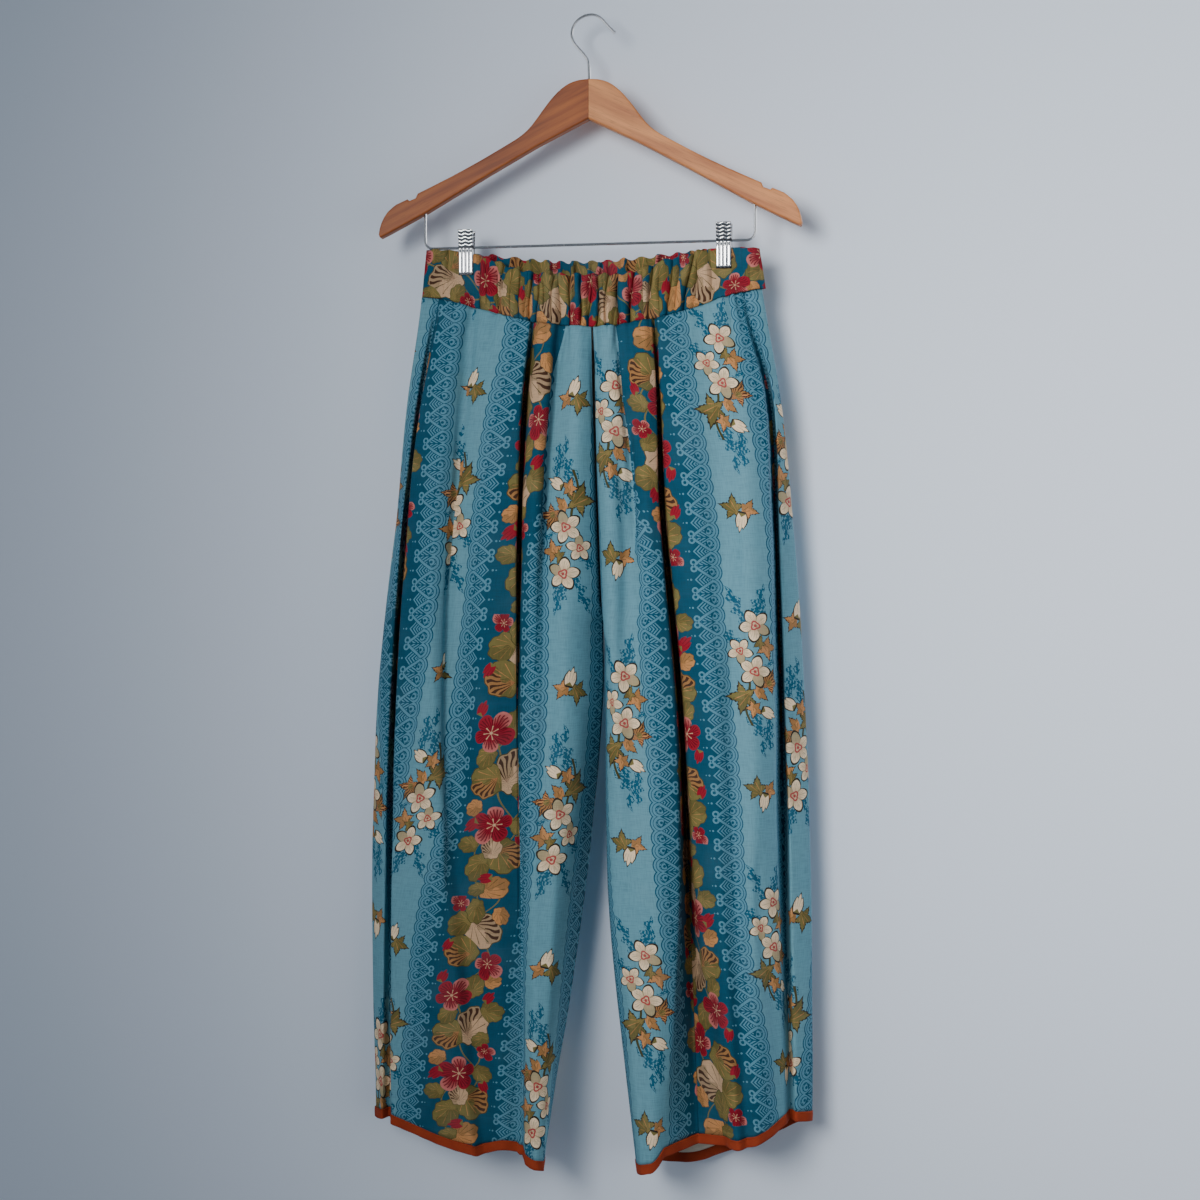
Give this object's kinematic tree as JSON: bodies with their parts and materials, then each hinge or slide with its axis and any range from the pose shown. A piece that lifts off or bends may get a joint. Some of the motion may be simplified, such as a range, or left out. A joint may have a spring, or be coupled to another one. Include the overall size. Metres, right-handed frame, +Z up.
{
  "type": "barrel leg trousers on a clip hanger",
  "caption": "Wide barrel-leg trousers of striped floral cotton with pleated fronts, gathered elastic waistband and rust-bound curved hems, clipped to a wooden trouser hanger.",
  "frame": {"origin": "the inside top of the hanger's hook, where it hangs", "axes": "+Z up; the trousers' front faces -Y; +X is towards the wearer's left leg"},
  "size_m": [0.4683, 0.0995, 1.198],
  "materials": {
    "printed_cotton": "matte printed cotton twill, light blue and deep teal stripes with scroll borders and flowers; cream reverse",
    "waistband_cotton": "the same cotton cut from its dark floral stripe, gathered on elastic",
    "rust_binding": "matte rust-orange bias tape",
    "stained_beech": "satin-lacquered wood",
    "chrome_wire": "bright plated steel wire and pressed clips"
  },
  "bodies": {
    "root": {"clip_left_back": "chrome_wire", "clip_left_front": "chrome_wire", "clip_left_spring": "chrome_wire", "clip_right_back": "chrome_wire", "clip_right_front": "chrome_wire", "clip_right_spring": "chrome_wire", "hanger_arm_left": "stained_beech", "hanger_arm_right": "stained_beech", "hanger_bar": "chrome_wire", "hanger_hook": "chrome_wire", "left_back": "printed_cotton", "left_front_inner": "printed_cotton", "left_front_outer": "printed_cotton", "left_hem_binding": "rust_binding", "right_back": "printed_cotton", "right_front_inner": "printed_cotton", "right_front_outer": "printed_cotton", "right_hem_binding": "rust_binding", "waistband_back": "waistband_cotton", "waistband_front": "waistband_cotton"}
  },
  "joints": []
}
